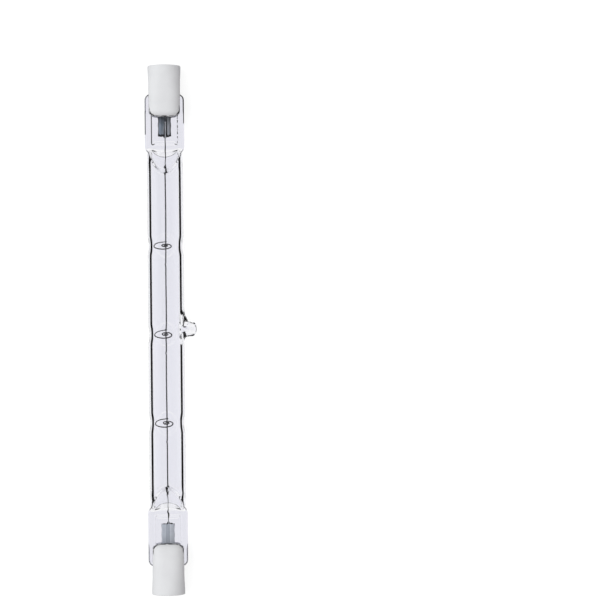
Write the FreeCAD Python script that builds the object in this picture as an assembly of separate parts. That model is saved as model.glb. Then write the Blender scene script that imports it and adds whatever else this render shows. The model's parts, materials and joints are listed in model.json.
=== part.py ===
import FreeCAD, Part
import math
import os

# Double-ended linear halogen lamp, 118 mm long and 8 mm across, in millimetres.
#
# A quartz tube is pinched flat at both ends around a thin foil, and each pinch
# sits in a slotted ceramic cap with a recessed contact. The lamp lies on its
# round tube, rolled until the sealed exhaust stub at its side just clears the
# surface. Its length runs along Y, Z is up, and the origin is on that surface,
# at the bottom centre of the bounding box.
#
# Everything is drawn first in the lamp's own frame: Z along the tube, X through
# the exhaust stub and the broad side of the pinches, origin at mid-length.
# A depth is a distance inwards from the lamp's end.

V = FreeCAD.Vector

# Overall size and resting place
OVERALL_LENGTH = 118.0
REST_TURN = 28.0

# Quartz tube
TUBE_DIAMETER = 8.0
TUBE_WALL = 1.0
WAIST_DEPTH = 0.24
WAIST_HALF_LENGTH = 2.3
WAIST_NECK_LENGTH = 1.2

# Pinch seals
PINCH_WIDTH = 8.8
PINCH_THICKNESS = 3.2
PINCH_LENGTH = 12.3
PINCH_EDGE_RADIUS = 1.1
PINCH_CORNER_RADIUS = 1.4
RAIL_WIDTH = 1.35
PANEL_RECESS = 0.45
PANEL_END_MARGIN = 0.7
PANEL_CORNER_RADIUS = 0.6

# Shoulders between the round tube and the flat pinch
SHOULDER_MARGIN = 0.6
SHOULDER_LENGTH = 4.0
SHOULDER_ARCH_EXTRA = 1.0
BORE_END_MARGIN = 2.2
BORE_END_GAP = 0.7
BORE_ARCH_EXTRA = 0.9
BORE_FLANK_ANGLE = 38.0

# Exhaust stub
STUB_LENGTH = 2.8
STUB_ROOT_RADIUS = 1.7
STUB_END_RADIUS = 1.2
STUB_END_WALL = 1.5
STUB_POSITION = 0.1
STUB_FILLET = 1.3
STUB_HOLE_RADIUS = 0.7

# Filament coil and its legs
COIL_DIAMETER = 0.48
COIL_ROOT_DIAMETER = 0.32
COIL_RIB_PITCH = 1.2
COIL_SIDES = 6
LEG_DIAMETER = 0.25
LEG_IN_BORE = 1.7

# Spiral supports
SUPPORT_PITCH = 19.8
SUPPORT_SHIFT = -1.0
SUPPORT_COUNT = 3
SUPPORT_WIRE = 0.3
SUPPORT_TILT = 25.0
SUPPORT_OUTER_SWEEP = 240.0
SUPPORT_INNER_SWEEP = 255.0
SUPPORT_END_ANGLE = 300.0

# Current path through each seal
FOIL_WIDTH = 2.9
FOIL_LENGTH = 8.05
FOIL_THICKNESS = 0.05
FOIL_FEATHER = 0.5
FOIL_MARGIN = 1.5
LEAD_DIAMETER = 0.65
WELD_FLAT = 0.03
INNER_WELD_LENGTH = 3.35
OUTER_WELD_LENGTH = 1.6
INNER_LEAD_MARGIN = 0.25
OUTER_LEAD_FREE_LENGTH = 1.9

# Ceramic caps
CAP_DIAMETER = 7.4
CAP_LENGTH = 11.6
CAP_STRAIGHT_LENGTH = 6.4
CAP_TAPER = 0.1
CAP_INNER_ROUNDING = 1.5
CAP_ROUNDING_STEPS = 3
CAP_DOME = 0.15
CAP_RIM_CHAMFER = 0.25
RECESS_DIAMETER = 3.8
RECESS_DEPTH = 1.9

# Recessed contacts
CONTACT_DIAMETER = 3.0
CONTACT_THICKNESS = 0.8
CONTACT_CHAMFER = 0.2
SHANK_DIAMETER = 1.4
SHANK_LENGTH = 1.7

# Clearances
CONTACT_CLEARANCE = 0.05
SLOT_CLEARANCE = 0.15
PINCH_END_CLEARANCE = 0.2
CEMENT_SET_BACK = 1.0
CEMENT_SIDE_SET_BACK = 0.5
SUPPORT_CLEARANCE = 0.05

# Places that follow, from each end inwards
HALF_LENGTH = OVERALL_LENGTH / 2
TUBE_RADIUS = TUBE_DIAMETER / 2
BORE_RADIUS = TUBE_RADIUS - TUBE_WALL
CONTACT_SEAT_DEPTH = RECESS_DEPTH + CONTACT_THICKNESS
SHANK_END_DEPTH = CONTACT_SEAT_DEPTH + SHANK_LENGTH
PINCH_OUTER_DEPTH = SHANK_END_DEPTH + OUTER_LEAD_FREE_LENGTH
PINCH_INNER_DEPTH = PINCH_OUTER_DEPTH + PINCH_LENGTH
SLOT_END_DEPTH = PINCH_OUTER_DEPTH - PINCH_END_CLEARANCE
SLOT_THICKNESS = PINCH_THICKNESS + 2 * SLOT_CLEARANCE
PANEL_WIDTH = PINCH_WIDTH - 2 * RAIL_WIDTH
PANEL_INNER_DEPTH = PINCH_INNER_DEPTH - PANEL_END_MARGIN
SHOULDER_FLAT_DEPTH = PINCH_INNER_DEPTH + SHOULDER_MARGIN
SHOULDER_ARCH_RADIUS = TUBE_RADIUS + SHOULDER_ARCH_EXTRA
BORE_END_DEPTH = PINCH_INNER_DEPTH + BORE_END_MARGIN
BORE_ARCH_RADIUS = BORE_RADIUS + BORE_ARCH_EXTRA
FOIL_OUTER_DEPTH = PINCH_OUTER_DEPTH + FOIL_MARGIN
FOIL_INNER_DEPTH = FOIL_OUTER_DEPTH + FOIL_LENGTH
FOIL_FACE = LEAD_DIAMETER / 2 - WELD_FLAT
OUTER_LEAD_END = FOIL_OUTER_DEPTH + OUTER_WELD_LENGTH
INNER_LEAD_START = FOIL_INNER_DEPTH - INNER_WELD_LENGTH
INNER_LEAD_END = FOIL_INNER_DEPTH + INNER_LEAD_MARGIN
COIL_END_DEPTH = BORE_END_DEPTH + LEG_IN_BORE
STUB_REACH = TUBE_RADIUS + STUB_LENGTH

# Tolerance of the tests for an edge's direction and place
NEARLY = 1e-6


def height(depth):
    """Place along the lamp of a depth from its end."""
    return HALF_LENGTH - depth


def line(start, end):
    return Part.makeLine(start, end)


def face_of(edges):
    return Part.Face(Part.Wire(edges))


def polygon(points):
    return Part.Face(Part.makePolygon(points + points[:1]))


def turned(face, axis):
    """Solid of revolution about an axis through the origin."""
    return face.revolve(V(0, 0, 0), axis, 360)


def round_bar(diameter, low, high):
    """Round bar along the lamp's axis."""
    return Part.makeCylinder(diameter / 2, high - low, V(0, 0, low))


def block(width, thickness, low, high):
    """Block centred on the lamp's axis, from low to high along it."""
    return Part.makeBox(width, thickness, high - low, V(-width / 2, -thickness / 2, low))


def edges_along(shape, direction):
    """Straight edges that run in a direction."""
    found = []
    for edge in shape.Edges:
        if edge.tangentAt(edge.FirstParameter).cross(direction).Length < NEARLY:
            found.append(edge)
    return found


def support_heights():
    first = SUPPORT_SHIFT - SUPPORT_PITCH * (SUPPORT_COUNT - 1) / 2
    return [first + SUPPORT_PITCH * i for i in range(SUPPORT_COUNT)]


def beside_stub(centre):
    return abs(centre - STUB_POSITION) < WAIST_HALF_LENGTH + STUB_ROOT_RADIUS + STUB_FILLET


def waisted_tube(half_length):
    """Outside of the tube, with a shallow waist at each support clear of the stub."""
    neck = TUBE_RADIUS - WAIST_DEPTH
    outline = [V(0, 0, -half_length), V(TUBE_RADIUS, 0, -half_length)]
    for centre in support_heights():
        if beside_stub(centre):
            continue
        outline.append(V(TUBE_RADIUS, 0, centre - WAIST_HALF_LENGTH))
        outline.append(V(neck, 0, centre - WAIST_NECK_LENGTH / 2))
        outline.append(V(neck, 0, centre + WAIST_NECK_LENGTH / 2))
        outline.append(V(TUBE_RADIUS, 0, centre + WAIST_HALF_LENGTH))
    outline += [V(TUBE_RADIUS, 0, half_length), V(0, 0, half_length)]
    return turned(polygon(outline), V(0, 0, 1))


def dent_roller(centre):
    """Roller that dents the side of the tube away from the stub, in place of a waist."""
    radius = (WAIST_HALF_LENGTH ** 2 + WAIST_DEPTH ** 2) / (2 * WAIST_DEPTH)
    across = TUBE_DIAMETER
    place = V(WAIST_DEPTH - TUBE_RADIUS - radius, -across / 2, centre)
    return Part.makeCylinder(radius, across, place, V(0, 1, 0))


def jaw():
    """Tool that presses one side of the hot tube flat, with an arched front."""
    reach = SHOULDER_ARCH_RADIUS + SHOULDER_LENGTH
    gap = PINCH_THICKNESS / 2
    outside = TUBE_DIAMETER
    outline = [
        V(0, gap, 0),
        V(0, gap, -SHOULDER_ARCH_RADIUS),
        V(0, TUBE_RADIUS, -reach),
        V(0, outside, -reach),
        V(0, outside, 0),
    ]
    tool = turned(polygon(outline), V(0, 1, 0))
    tool.translate(V(0, 0, height(SHOULDER_FLAT_DEPTH - SHOULDER_ARCH_RADIUS)))
    return tool


def bore_stop():
    """Glass that closes the bore: a wheel with a V in its rim, narrow at the bottom."""
    half_gap = BORE_END_GAP / 2
    outside = TUBE_RADIUS
    flank = (outside - half_gap) / math.tan(math.radians(BORE_FLANK_ANGLE))
    rim = BORE_ARCH_RADIUS + flank
    outline = [
        V(0, outside, 0),
        V(0, outside, -rim),
        V(0, half_gap, -BORE_ARCH_RADIUS),
        V(0, -half_gap, -BORE_ARCH_RADIUS),
        V(0, -outside, -rim),
        V(0, -outside, 0),
    ]
    stop = turned(polygon(outline), V(0, 1, 0))
    stop.translate(V(0, 0, height(BORE_END_DEPTH - BORE_ARCH_RADIUS)))
    return stop


def rounded_plate(width, low, high, radius, thickness):
    """Plate in the lamp's broad plane with its four corners rounded."""
    plate = block(width, thickness, low, high)
    return plate.makeFillet(radius, edges_along(plate, V(0, 1, 0)))


def blade_bar():
    """Pinched end of the envelope before its panels are pressed in."""
    low = height(PINCH_INNER_DEPTH)
    high = height(PINCH_OUTER_DEPTH)
    bar = block(PINCH_WIDTH, PINCH_THICKNESS, low, high)
    bar = bar.makeFillet(PINCH_EDGE_RADIUS, edges_along(bar, V(0, 0, 1)))
    return bar.common(rounded_plate(PINCH_WIDTH, low, high, PINCH_CORNER_RADIUS, PINCH_THICKNESS))


def panel_pockets():
    """What is pressed out of both faces, so that two rails stand beside a thinner panel."""
    low = height(PANEL_INNER_DEPTH)
    high = height(PINCH_OUTER_DEPTH) + PANEL_CORNER_RADIUS
    pockets = []
    for side in (-1, 1):
        pocket = rounded_plate(PANEL_WIDTH, low, high, PANEL_CORNER_RADIUS, PINCH_THICKNESS)
        pocket.translate(V(0, side * (PINCH_THICKNESS - PANEL_RECESS), 0))
        pockets.append(pocket)
    return pockets


def exhaust_stub():
    """Blunt stub left where the exhaust tube was melted off."""
    centre = STUB_REACH - STUB_END_RADIUS
    diagonal = STUB_END_RADIUS / math.sqrt(2)
    edges = [
        line(V(0, 0, 0), V(0, 0, STUB_ROOT_RADIUS)),
        line(V(0, 0, STUB_ROOT_RADIUS), V(BORE_RADIUS, 0, STUB_ROOT_RADIUS)),
        line(V(BORE_RADIUS, 0, STUB_ROOT_RADIUS), V(centre, 0, STUB_END_RADIUS)),
        Part.Arc(
            V(centre, 0, STUB_END_RADIUS),
            V(centre + diagonal, 0, diagonal),
            V(STUB_REACH, 0, 0),
        ).toShape(),
        line(V(STUB_REACH, 0, 0), V(0, 0, 0)),
    ]
    stub = turned(face_of(edges), V(1, 0, 0))
    stub.translate(V(0, 0, STUB_POSITION))
    return stub


def stub_hole():
    """Blind end of the exhaust passage inside the stub, open to the bore."""
    reach = STUB_REACH - STUB_END_WALL
    return Part.makeCylinder(STUB_HOLE_RADIUS, reach, V(0, 0, STUB_POSITION), V(1, 0, 0))


def root_edges(shape):
    """Edges where the stub meets the tube."""
    found = []
    for edge in shape.Edges:
        box = edge.BoundBox
        near_stub = abs((box.ZMin + box.ZMax) / 2 - STUB_POSITION) < STUB_ROOT_RADIUS / 2
        on_tube = box.XMin > BORE_RADIUS / 2 and box.XMax < TUBE_RADIUS + WAIST_DEPTH
        if near_stub and on_tube and box.ZLength < 3 * STUB_ROOT_RADIUS:
            found.append(edge)
    return found


def turned_over(shape):
    """The same piece at the lamp's other end, by half a turn about X."""
    other = shape.copy()
    other.rotate(V(0, 0, 0), V(1, 0, 0), 180)
    return other


def seal_foil():
    """Molybdenum foil with feathered edges, welded to both leads."""
    half = FOIL_WIDTH / 2
    flat = half - FOIL_FEATHER
    low = height(FOIL_INNER_DEPTH)
    middle = FOIL_FACE + FOIL_THICKNESS / 2
    outline = [
        V(-half, middle, low),
        V(-flat, FOIL_FACE, low),
        V(flat, FOIL_FACE, low),
        V(half, middle, low),
        V(flat, FOIL_FACE + FOIL_THICKNESS, low),
        V(-flat, FOIL_FACE + FOIL_THICKNESS, low),
    ]
    return polygon(outline).extrude(V(0, 0, FOIL_INNER_DEPTH - FOIL_OUTER_DEPTH))


def lead(start_depth, end_depth, flat_start, flat_end):
    """Lead with a weld flat where it lies on the foil."""
    bar = round_bar(LEAD_DIAMETER, height(end_depth), height(start_depth))
    relief = block(LEAD_DIAMETER, LEAD_DIAMETER, height(flat_end), height(flat_start))
    relief.translate(V(0, FOIL_FACE + LEAD_DIAMETER / 2, 0))
    return bar.cut(relief)


def inner_lead():
    return lead(INNER_LEAD_START, INNER_LEAD_END, INNER_LEAD_START, FOIL_INNER_DEPTH)


def outer_lead():
    return lead(SHANK_END_DEPTH, OUTER_LEAD_END, FOIL_OUTER_DEPTH, OUTER_LEAD_END)


def filament_leg():
    return round_bar(LEG_DIAMETER, height(COIL_END_DEPTH), height(INNER_LEAD_END))


def coil_ring(radius, along):
    """Corners of the coil's section at one place along the lamp."""
    corners = []
    for i in range(COIL_SIDES):
        angle = 2 * math.pi * i / COIL_SIDES
        corners.append(V(radius * math.cos(angle), radius * math.sin(angle), along))
    return corners


def filament():
    """Tungsten coil, ribbed along its length, with a straight leg at each end."""
    low = -height(COIL_END_DEPTH)
    ribs = round(-2 * low / COIL_RIB_PITCH)
    step = -low / ribs
    rings = []
    for i in range(2 * ribs + 1):
        diameter = COIL_DIAMETER if i % 2 else COIL_ROOT_DIAMETER
        rings.append(coil_ring(diameter / 2, low + step * i))
    faces = [polygon(rings[0]), polygon(rings[-1])]
    for below, above in zip(rings, rings[1:]):
        for i in range(COIL_SIDES):
            after = (i + 1) % COIL_SIDES
            faces.append(polygon([below[i], below[after], above[after], above[i]]))
    coil = Part.Solid(Part.Shell(faces))
    leg = filament_leg()
    return coil.fuse([leg, turned_over(leg)])


def arc_about(centre, radius, start_angle, sweep):
    """Arc in the XY plane, counter-clockwise, angles in degrees."""
    points = []
    for part in (0, 0.5, 1):
        angle = math.radians(start_angle + sweep * part)
        points.append(centre + V(radius * math.cos(angle), radius * math.sin(angle), 0))
    return Part.Arc(*points).toShape()


def spiral_support():
    """Flat spiral of wire, tilted in the bore, that holds the coil with its inner turn."""
    half_wire = SUPPORT_WIRE / 2
    outer = BORE_RADIUS - SUPPORT_CLEARANCE - half_wire
    grip = COIL_DIAMETER / 2 + SUPPORT_CLEARANCE + half_wire
    inner = grip / math.cos(math.radians(SUPPORT_TILT))
    middle = (outer + inner) / 2
    direction = math.radians(SUPPORT_END_ANGLE)
    shift = V(math.cos(direction), math.sin(direction), 0) * (outer - middle)
    first = SUPPORT_END_ANGLE - SUPPORT_OUTER_SWEEP
    edges = []
    starts = []
    stops = []
    for offset in (-half_wire, half_wire):
        turns = [
            arc_about(V(0, 0, 0), outer + offset, first, SUPPORT_OUTER_SWEEP),
            arc_about(shift, middle + offset, SUPPORT_END_ANGLE, 180),
            arc_about(V(0, 0, 0), inner + offset, SUPPORT_END_ANGLE + 180, SUPPORT_INNER_SWEEP),
        ]
        edges += turns
        starts.append(turns[0].firstVertex().Point)
        stops.append(turns[-1].lastVertex().Point)
    edges += [line(*starts), line(*stops)]
    spiral = face_of(Part.sortEdges(edges)[0])
    support = spiral.extrude(V(0, 0, SUPPORT_WIRE))
    support.translate(V(0, 0, -half_wire))
    support.rotate(V(0, 0, 0), V(1, 0, 0), SUPPORT_TILT)
    return support


def quartz_envelope():
    """Tube, pinches and exhaust stub, blown and pressed as one piece."""
    tube_end = height(PINCH_INNER_DEPTH - PINCH_CORNER_RADIUS)
    body = waisted_tube(tube_end)
    body = body.fuse(exhaust_stub())
    body = body.makeFillet(STUB_FILLET, root_edges(body))
    body = body.cut([dent_roller(c) for c in support_heights() if beside_stub(c)])
    bore = round_bar(2 * BORE_RADIUS, -tube_end, tube_end)
    cavities = [stub_hole()]
    for place in (Part.Shape.copy, turned_over):
        upper = jaw()
        lower = upper.mirror(V(0, 0, 0), V(0, 1, 0))
        body = body.cut([place(upper), place(lower)])
        body = body.fuse(place(blade_bar()))
        body = body.cut([place(pocket) for pocket in panel_pockets()])
        bore = bore.cut(place(bore_stop()))
        for piece in (seal_foil, inner_lead, outer_lead, filament_leg):
            cavities.append(place(piece()))
    return body.removeSplitter().cut([bore] + cavities)


def cap_outline():
    """Solid outside form of a ceramic cap, rounded towards the middle of the lamp."""
    radius = CAP_DIAMETER / 2
    small = radius - CAP_TAPER
    shoulder = height(CAP_LENGTH - CAP_DOME - CAP_INNER_ROUNDING)
    outline = [
        V(0, 0, HALF_LENGTH),
        V(radius - CAP_RIM_CHAMFER, 0, HALF_LENGTH),
        V(radius, 0, height(CAP_RIM_CHAMFER)),
        V(radius, 0, height(CAP_STRAIGHT_LENGTH)),
    ]
    for step in range(CAP_ROUNDING_STEPS + 1):
        angle = math.pi / 2 * step / CAP_ROUNDING_STEPS
        inwards = CAP_INNER_ROUNDING * (1 - math.cos(angle))
        outline.append(V(small - inwards, 0, shoulder - CAP_INNER_ROUNDING * math.sin(angle)))
    outline.append(V(0, 0, height(CAP_LENGTH)))
    return turned(polygon(outline), V(0, 0, 1))


def cap_slot():
    """Slot for the pinch, open at both sides and towards the middle."""
    return block(2 * CAP_DIAMETER, SLOT_THICKNESS, height(2 * CAP_LENGTH), height(SLOT_END_DEPTH))


def ceramic_cap():
    seat = CONTACT_DIAMETER + 2 * CONTACT_CLEARANCE
    hole = SHANK_DIAMETER + 2 * CONTACT_CLEARANCE
    cuts = [
        cap_slot(),
        round_bar(RECESS_DIAMETER, height(RECESS_DEPTH), HALF_LENGTH),
        round_bar(seat, height(CONTACT_SEAT_DEPTH), HALF_LENGTH),
        round_bar(hole, height(SLOT_END_DEPTH), HALF_LENGTH),
    ]
    return cap_outline().cut(cuts)


def contact():
    """Button with a shank, seated in the cap and welded to the outer lead."""
    head = round_bar(CONTACT_DIAMETER, height(CONTACT_SEAT_DEPTH), height(RECESS_DEPTH))
    front = [e for e in head.Edges if e.BoundBox.ZMin > height(RECESS_DEPTH) - NEARLY]
    head = head.makeChamfer(CONTACT_CHAMFER, front)
    shank = round_bar(SHANK_DIAMETER, height(SHANK_END_DEPTH), height(CONTACT_SEAT_DEPTH))
    return head.fuse(shank).removeSplitter()


def cement():
    """Cement that fills the slot around the end of the pinch."""
    width = CAP_DIAMETER - 2 * CEMENT_SIDE_SET_BACK
    fill = block(width, SLOT_THICKNESS, height(CAP_LENGTH - CEMENT_SET_BACK), height(SLOT_END_DEPTH))
    return fill.cut([blade_bar().cut(panel_pockets()), outer_lead()])


def pieces():
    """Every piece by its node name, in the lamp's own frame."""
    made = {"quartz_envelope": quartz_envelope(), "filament": filament()}
    for number, centre in enumerate(support_heights(), start=1):
        support = spiral_support()
        support.translate(V(0, 0, centre))
        made[f"filament_support_{number}"] = support
    end_pieces = {
        "ceramic_cap": ceramic_cap,
        "contact": contact,
        "outer_lead": outer_lead,
        "seal_foil": seal_foil,
        "inner_lead": inner_lead,
        "cement": cement,
    }
    for name, make in end_pieces.items():
        piece = make()
        made[f"{name}_a"] = piece
        made[f"{name}_b"] = turned_over(piece)
    return made


def lay_down(made):
    """Lay the lamp on its tube, with the box centred over the origin."""
    for piece in made.values():
        piece.rotate(V(0, 0, 0), V(1, 0, 0), -90)
        piece.rotate(V(0, 0, 0), V(0, 1, 0), REST_TURN)
        piece.translate(V(0, 0, TUBE_RADIUS))
    box = Part.makeCompound(list(made.values())).optimalBoundingBox(False, False)
    sideways = V(-(box.XMin + box.XMax) / 2, 0, 0)
    for piece in made.values():
        piece.translate(sideways)
    print("axis of the lamp at x", sideways.x, "and z", TUBE_RADIUS)


def main():
    os.makedirs("parts", exist_ok=True)
    made = pieces()
    lay_down(made)
    for name, piece in made.items():
        piece.exportStep(f"parts/{name}.step")


main()
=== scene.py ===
import json
import math

import bmesh
import bpy
from mathutils import Matrix, Vector, noise


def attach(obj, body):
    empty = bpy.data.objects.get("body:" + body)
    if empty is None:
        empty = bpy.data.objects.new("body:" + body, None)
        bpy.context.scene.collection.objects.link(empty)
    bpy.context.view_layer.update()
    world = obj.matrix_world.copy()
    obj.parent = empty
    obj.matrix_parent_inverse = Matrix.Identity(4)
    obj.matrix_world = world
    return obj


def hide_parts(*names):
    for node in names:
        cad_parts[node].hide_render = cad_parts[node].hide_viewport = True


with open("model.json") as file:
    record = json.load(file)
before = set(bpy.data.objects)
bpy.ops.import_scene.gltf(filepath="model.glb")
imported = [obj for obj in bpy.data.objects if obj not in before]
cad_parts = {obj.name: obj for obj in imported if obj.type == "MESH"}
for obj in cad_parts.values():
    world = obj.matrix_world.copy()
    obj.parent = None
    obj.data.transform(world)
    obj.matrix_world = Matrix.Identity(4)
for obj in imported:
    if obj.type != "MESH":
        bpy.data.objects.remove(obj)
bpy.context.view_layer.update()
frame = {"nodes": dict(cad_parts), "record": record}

# A double-ended linear halogen lamp, dressed over its CAD solids.
#
# Each piece is modelled in millimetres in the lamp's own frame: Z along the tube, X through the
# exhaust stub and across the pinches, Y away from the camera, origin at mid-length.
# lay_down() then puts it in the CAD's frame, in metres, with its object at the origin.
# A height is a place along Z. A depth is a distance inwards from the lamp's end.

# Half the lamp's length, and its turn about its axis, as in the CAD source
HALF_LENGTH = 59.0
REST_TURN = math.radians(28)

# Quartz tube, with a waist at each filament support
TUBE_RADIUS = 4.0
BORE_RADIUS = 3.0
SUPPORT_HEIGHTS = (-20.8, -1.0, 18.8)
WAIST_DEPTH = 0.24
WAIST_REACH = 2.4
BORE_WAIST_SHARE = 0.35
NEAR_STUB = 3.0

# Exhaust stub and the passage in it. The root and each step are a place along X and the half
# widths along Y and Z there.
STUB_HEIGHT = 0.1
STUB_ROOT = (5.2, 1.58, 1.7)
STUB_STEPS = (
    (5.5, 1.5, 1.68), (5.85, 1.34, 1.64), (6.15, 1.16, 1.52), (6.4, 0.98, 1.32),
    (6.6, 0.76, 1.02), (6.73, 0.5, 0.66), (6.8, 0.2, 0.26),
)
STUB_TIP = 6.81
FLARE_HALF_WIDTH = 2.9
FLARE_MOST = 1.3
PASSAGE_ROOT = (3.55, 0.72, 0.72)
PASSAGE_STEPS = ((4.2, 0.68, 0.68), (4.8, 0.55, 0.55), (5.1, 0.36, 0.36), (5.25, 0.16, 0.16))
PASSAGE_TIP = 5.3

# Pinched blades, each with a pressed panel between its rails
BLADE_HALF_WIDTH = 4.4
BLADE_HALF_THICKNESS = 1.6
BLADE_OUTER_DEPTH = 6.3
BLADE_CORNER = 1.4
BLADE_EDGE_RADIUS = 0.65
PANEL_HALF_WIDTH = 3.05
PANEL_INNER_DEPTH = 17.9
PANEL_CORNER = 0.55
PANEL_RECESS = 0.45
PANEL_SIDE_SLOPE = 0.28
PANEL_END_SLOPE = 1.1
PANEL_MIDDLE = 2.7

# Shoulders: the jaw's arched front, and the wedge that closes the bore. The jaw's reach is a
# share of its way from flat to round.
JAW_DEPTH = 14.2
JAW_FLAT_RADIUS = 5.0
JAW_ROUND_RADIUS = 9.0
JAW_REACH = 1.4
JAW_SOFTNESS = 0.3
BLADE_INNER_DEPTH = 18.2
BLADE_MEETS_TUBE = 19.9
WHEEL_DEPTH = 16.9
WHEEL_RADIUS = 3.9
BORE_FLANK = math.tan(math.radians(38))
BORE_TIP = 0.12
BORE_ROUND_DEPTH = 24.8
BORE_VERTICES = 96

# Filament. Each bend of a leg is a place along X and Y, a distance past the coil's end and a
# share of the wire's diameter. The last one lies in the inner lead.
COIL_END_DEPTH = 22.5
COIL_PITCH = 0.2
COIL_RADIUS = 0.092
COIL_WIRE = 0.16
KINK_BELOW_SUPPORT = 4.2
LEG_WIRE = 0.25
UPPER_LEG = (
    (0.14, 0.0, -0.3, 1.0), (0.17, 0.05, -0.15, 1.0), (0.22, -0.06, 0.1, 0.8),
    (0.12, -0.06, 0.25, 0.7), (0.1, 0.0, 0.5, 0.7), (0.18, 0.03, 0.9, 0.9), (0.2, 0.0, 2.0, 1.0),
    (0.1, 0.0, 3.2, 1.1), (0.17, 0.0, 4.6, 1.0), (0.12, 0.0, 5.4, 0.8), (0.12, 0.0, 6.5, 0.8),
)
LOWER_LEG = (
    (0.05, 0.0, -0.3, 1.0), (-0.15, 0.05, -0.05, 1.0), (-0.12, 0.0, 0.2, 0.9),
    (0.02, 0.0, 0.5, 0.8), (0.08, 0.0, 1.4, 0.5), (0.0, 0.0, 2.4, 0.5), (0.1, 0.0, 3.6, 0.6),
    (-0.08, 0.0, 4.1, 1.3), (0.2, 0.0, 4.6, 1.3), (0.12, 0.0, 5.0, 1.2), (0.1, 0.0, 5.6, 0.5),
    (0.1, 0.0, 6.5, 0.7),
)

# Filament supports, whose spiral is given by degrees and the radius there
SUPPORT_WIRE = 0.27
SUPPORT_LEAN = math.radians(25)
SUPPORT_TURNS = (
    (84, 2.7), (115, 2.78), (150, 2.8), (185, 2.78), (220, 2.68), (255, 2.42), (290, 1.98),
    (325, 1.56), (360, 1.3), (400, 1.16), (440, 1.07), (485, 1.0), (530, 0.92), (575, 0.83),
    (620, 0.72), (665, 0.6), (710, 0.48), (755, 0.4), (800, 0.34), (850, 0.32), (910, 0.32),
)

# Foil and inner lead. At end a, an offset is a distance behind the middle plane.
FOIL_OUTER_DEPTH = 7.8
FOIL_INNER_DEPTH = 15.85
FOIL_WIDTH = 2.9
FOIL_THICKNESS = 0.05
FOIL_OFFSET = 0.32
LEAD_OUTER_DEPTH = 12.5
LEAD_INNER_DEPTH = 16.15
LEAD_WIRE = 0.62
LEAD_FLAT_OFFSET = 0.27

# Cap and contact
CAP_RADIUS = 3.7
CAP_LENGTH = 11.45
CAP_ROUNDING = 1.5
SLOT_DEPTH = 6.1
SLOT_WIDTH = 3.5
RECESS_DEPTH = 1.9
RECESS_CHAMFER = 0.12
CONTACT_RADIUS = 1.5
CONTACT_THICKNESS = 0.8

# Where a painted dark band starts and stops on the quartz, softly, by Layer Weight's facing value
TUBE_BAND_STARTS = (0.38, 0.4)
TUBE_BAND_STOPS = (0.55, 0.53)
BLADE_BAND_STARTS = (0.24, 0.28)
BLADE_BAND_STOPS = (0.88, 0.84)

# Half widths, across and along the lamp, of the painted bright rings round the supports
RING_ACROSS = 2.3
RING_ALONG = 2.6

# Studio. The dark zones' limits are dot products of a ray and the direction to the camera.
OVERHEAD_FROM = 0.35
CARD_BOTTOM = -0.72
CARD_TOP = -0.1
OVERHEAD_SHADE = 0.88
CARD_SHADE = 0.8
DIFFUSE_LEVEL = 0.81
FLOOR_LEVEL = 0.85
KEY_WATTS = 1.9

# Camera, with the lamp's place and lean in the photo's frame, in pixels
LENS = 135.0
SENSOR = 36.0
FRAME_PIXELS = 600.0
LAMP_PIXELS = 527.0
LAMP_CENTRE = (166.0, 328.5)
LEAN = math.radians(0.57)

BLACK = (0.0, 0.0, 0.0)
WHITE = (1.0, 1.0, 1.0)
MILLIMETRE = 0.001

recess = frame["record"]["mounts"][0]["pos_m"]
axis_place = Vector((recess[0], 0.0, recess[2]))
to_right = Vector((math.cos(REST_TURN), 0.0, -math.sin(REST_TURN)))
to_camera = Vector((math.sin(REST_TURN), 0.0, math.cos(REST_TURN)))
along = Vector((0.0, 1.0, 0.0))
lamp_frame = Matrix.Translation(axis_place) @ Matrix(
    [[to_right[i], -to_camera[i], along[i], 0.0] for i in range(3)] + [[0.0, 0.0, 0.0, 1.0]]
) @ Matrix.Scale(MILLIMETRE, 4)


def height(depth):
    """Place along the lamp of a depth from its end a."""
    return HALF_LENGTH - depth


def smooth_step(value):
    value = min(max(value, 0.0), 1.0)
    return value * value * (3.0 - 2.0 * value)


def softly_lower(one, other, width):
    """The lower of two values, rounded where they cross."""
    share = min(max(0.5 + (other - one) / (2 * width), 0.0), 1.0)
    return other + (one - other) * share - width * share * (1 - share)


def spread(start, stop, count):
    """Even places from start to stop, in count steps."""
    return [start + (stop - start) * i / count for i in range(count + 1)]


# Modelling helpers


def deselect():
    bpy.ops.object.select_all(action="DESELECT")


def only(piece):
    deselect()
    piece.select_set(True)
    bpy.context.view_layer.objects.active = piece


def edit(piece):
    only(piece)
    bpy.ops.object.mode_set(mode="EDIT")


def leave():
    bpy.ops.object.mode_set(mode="OBJECT")


def named(name):
    piece = bpy.context.object
    piece.name = name
    piece.data.name = name
    return piece


def middle_of(part):
    """Middle of a vertex, an edge or a face."""
    if isinstance(part, bmesh.types.BMVert):
        return part.co
    if isinstance(part, bmesh.types.BMEdge):
        return (part.verts[0].co + part.verts[1].co) / 2
    return part.calc_center_median()


def pick(piece, test, kind="VERT", open_only=False):
    """In edit mode, select only the vertices, edges or faces with their middle where test says."""
    bpy.ops.mesh.select_mode(type=kind)
    bpy.ops.mesh.select_all(action="DESELECT")
    mesh = bmesh.from_edit_mesh(piece.data)
    for part in {"VERT": mesh.verts, "EDGE": mesh.edges, "FACE": mesh.faces}[kind]:
        part.select_set(bool(test(middle_of(part))) and (not open_only or part.is_boundary))
    if kind == "VERT":
        mesh.select_flush(True)
    bmesh.update_edit_mesh(piece.data)


def pick_open(piece, test):
    """The same for open edges alone."""
    pick(piece, test, "EDGE", open_only=True)


def extrude(x=0.0, z=0.0):
    bpy.ops.mesh.extrude_region_move(TRANSFORM_OT_translate={"value": (x, 0.0, z)})


def shift(z):
    bpy.ops.transform.translate(value=(0.0, 0.0, z))


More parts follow.
